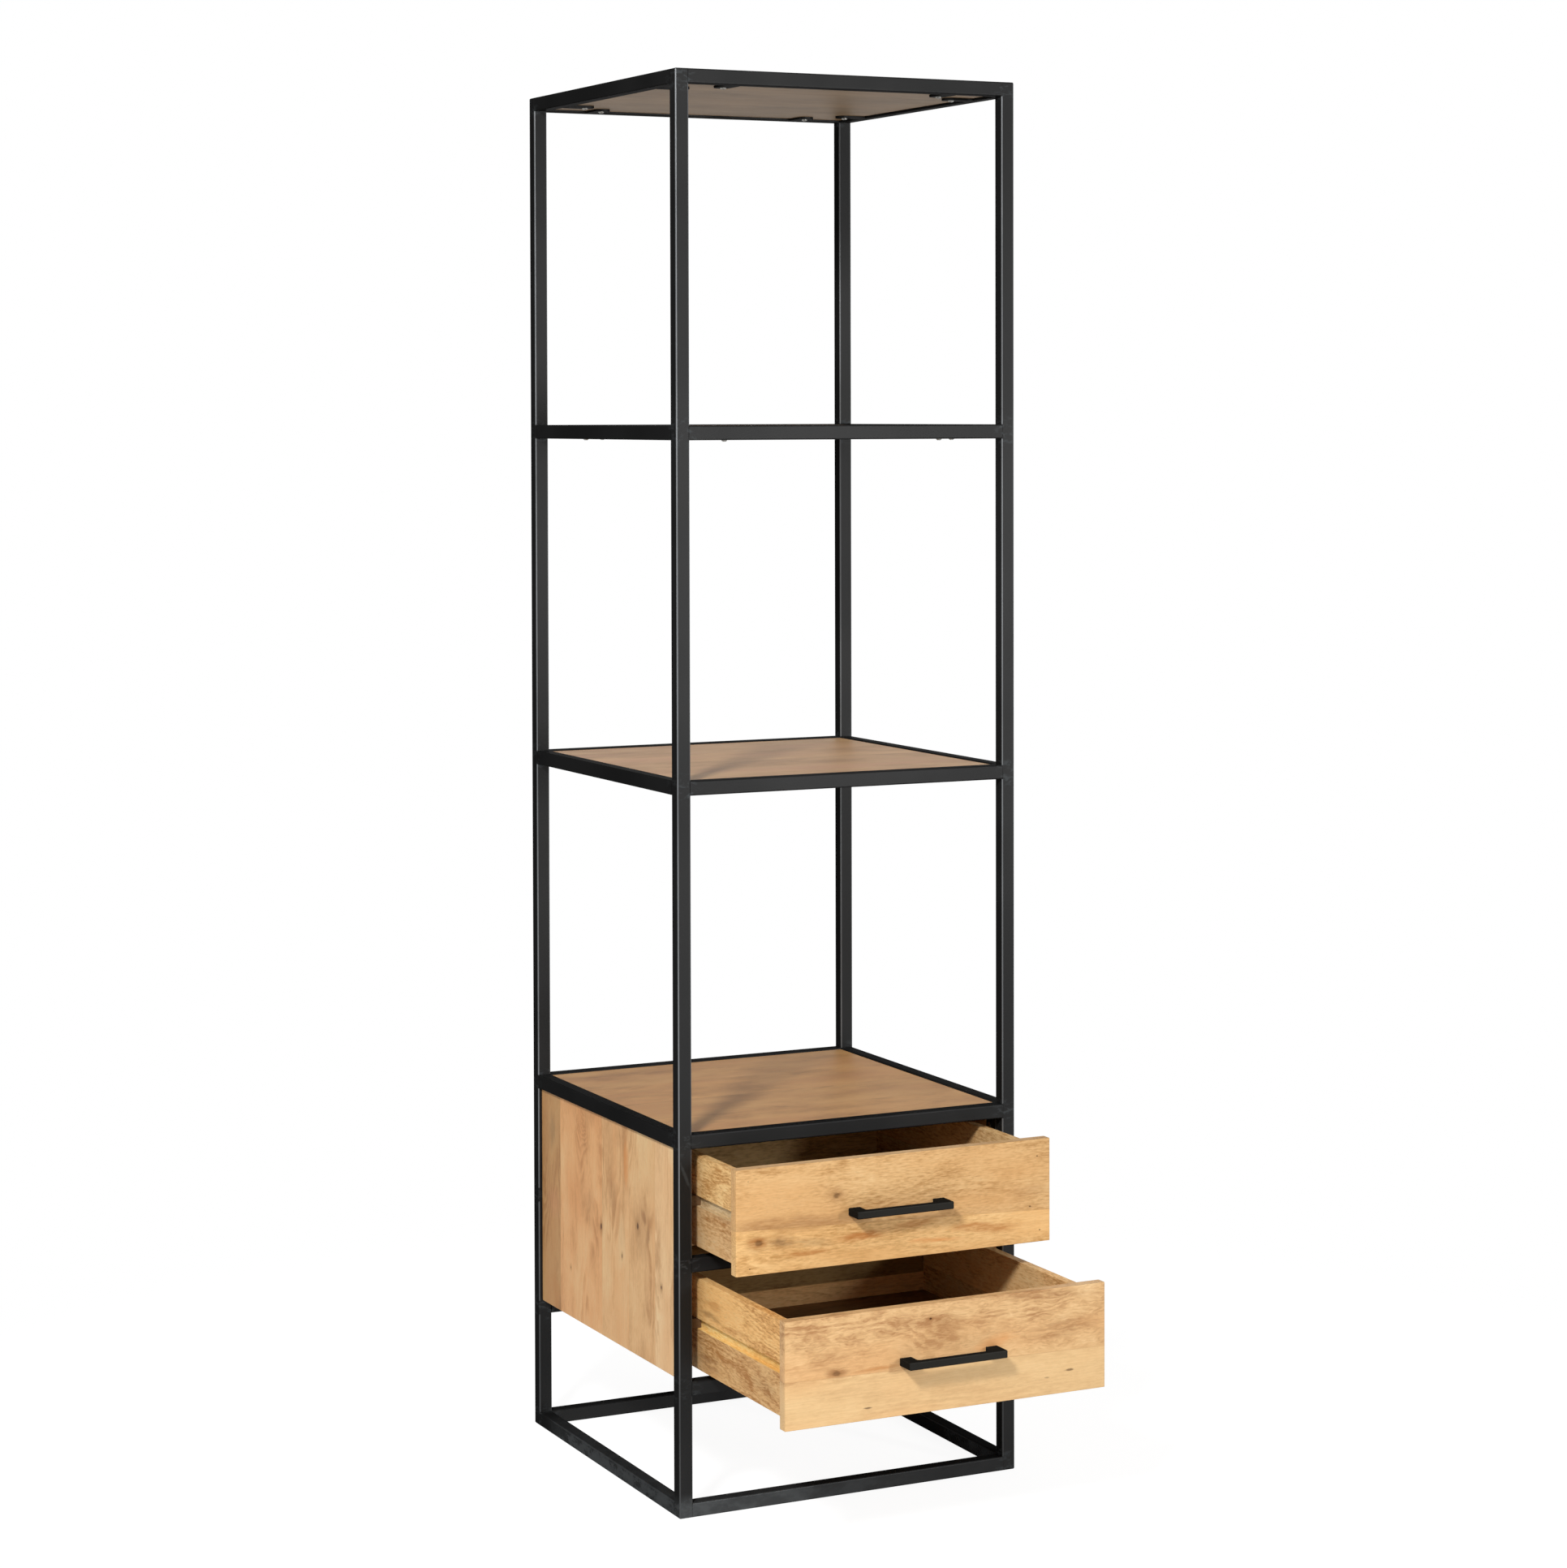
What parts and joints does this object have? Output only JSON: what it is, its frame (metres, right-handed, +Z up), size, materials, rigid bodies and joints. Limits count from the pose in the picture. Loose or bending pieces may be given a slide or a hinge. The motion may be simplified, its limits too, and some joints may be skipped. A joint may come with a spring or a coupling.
{
  "type": "bookcase with bottom drawers",
  "caption": "Tall open bookcase of black square steel tube with wooden shelves above a cabinet of sliding wooden drawers with bow handles, raised on an open base.",
  "frame": {"origin": "centre of the bottom of the box round the whole part at rest, with both drawers open as in the picture: on the floor, midway between the posts left to right, and midway from the rear posts to the lower drawer's handle", "axes": "+Z up; +X to the right and +Y to the back, seen from the front; the drawers slide out towards -Y"},
  "size_m": [0.5, 0.798, 1.88],
  "materials": {
    "black_frame": "matt black powder coat on square steel tube",
    "black_tab": "matt black powder coat on flat steel",
    "black_handle": "matt black powder coat",
    "zinc_screw": "zinc plated",
    "shelf_wood": "solid mango wood, clear satin lacquer",
    "panel_wood": "solid mango wood in upright staves, clear satin lacquer",
    "front_wood": "solid mango wood, clear satin lacquer",
    "drawer_box_wood": "solid wood, clear satin lacquer",
    "runner_wood": "bare hardwood",
    "dowel_wood": "bare hardwood"
  },
  "bodies": {
    "frame": {"back_panel": "panel_wood", "base_front_bar": "black_frame", "base_left_bar": "black_frame", "base_rear_bar": "black_frame", "base_right_bar": "black_frame", "board_screws": "zinc_screw", "board_tabs": "black_tab", "cabinet_top_board": "shelf_wood", "cabinet_top_front_bar": "black_frame", "cabinet_top_left_bar": "black_frame", "cabinet_top_rear_bar": "black_frame", "cabinet_top_right_bar": "black_frame", "front_bottom_rail": "black_frame", "front_left_post": "black_frame", "front_middle_rail": "black_frame", "front_right_post": "black_frame", "lower_left_runner": "runner_wood", "lower_right_runner": "runner_wood", "middle_shelf_board": "shelf_wood", "middle_shelf_front_bar": "black_frame", "middle_shelf_left_bar": "black_frame", "middle_shelf_rear_bar": "black_frame", "middle_shelf_right_bar": "black_frame", "panel_screws": "zinc_screw", "panel_tabs": "black_tab", "post_end_caps": "black_frame", "rear_bottom_rail": "black_frame", "rear_left_post": "black_frame", "rear_right_post": "black_frame", "runner_screws": "zinc_screw", "side_panel_left": "panel_wood", "side_panel_right": "panel_wood", "top_board": "shelf_wood", "top_front_bar": "black_frame", "top_left_bar": "black_frame", "top_rear_bar": "black_frame", "top_right_bar": "black_frame", "upper_left_runner": "runner_wood", "upper_right_runner": "runner_wood", "upper_shelf_board": "shelf_wood", "upper_shelf_front_bar": "black_frame", "upper_shelf_left_bar": "black_frame", "upper_shelf_rear_bar": "black_frame", "upper_shelf_right_bar": "black_frame"},
    "upper_drawer": {"upper_drawer_back": "drawer_box_wood", "upper_drawer_bottom": "drawer_box_wood", "upper_drawer_dowels": "dowel_wood", "upper_drawer_front": "front_wood", "upper_drawer_handle": "black_handle", "upper_drawer_handle_screws": "zinc_screw", "upper_drawer_left_side": "drawer_box_wood", "upper_drawer_right_side": "drawer_box_wood"},
    "lower_drawer": {"lower_drawer_back": "drawer_box_wood", "lower_drawer_bottom": "drawer_box_wood", "lower_drawer_dowels": "dowel_wood", "lower_drawer_front": "front_wood", "lower_drawer_handle": "black_handle", "lower_drawer_handle_screws": "zinc_screw", "lower_drawer_left_side": "drawer_box_wood", "lower_drawer_right_side": "drawer_box_wood"}
  },
  "joints": [
    {"name": "upper_drawer_slide", "type": "slide", "parent": "frame", "child": "upper_drawer", "axis": [0, -1, 0], "range_m": [-0.13, 0.2]},
    {"name": "lower_drawer_slide", "type": "slide", "parent": "frame", "child": "lower_drawer", "axis": [0, -1, 0], "range_m": [-0.27, 0.06]}
  ]
}
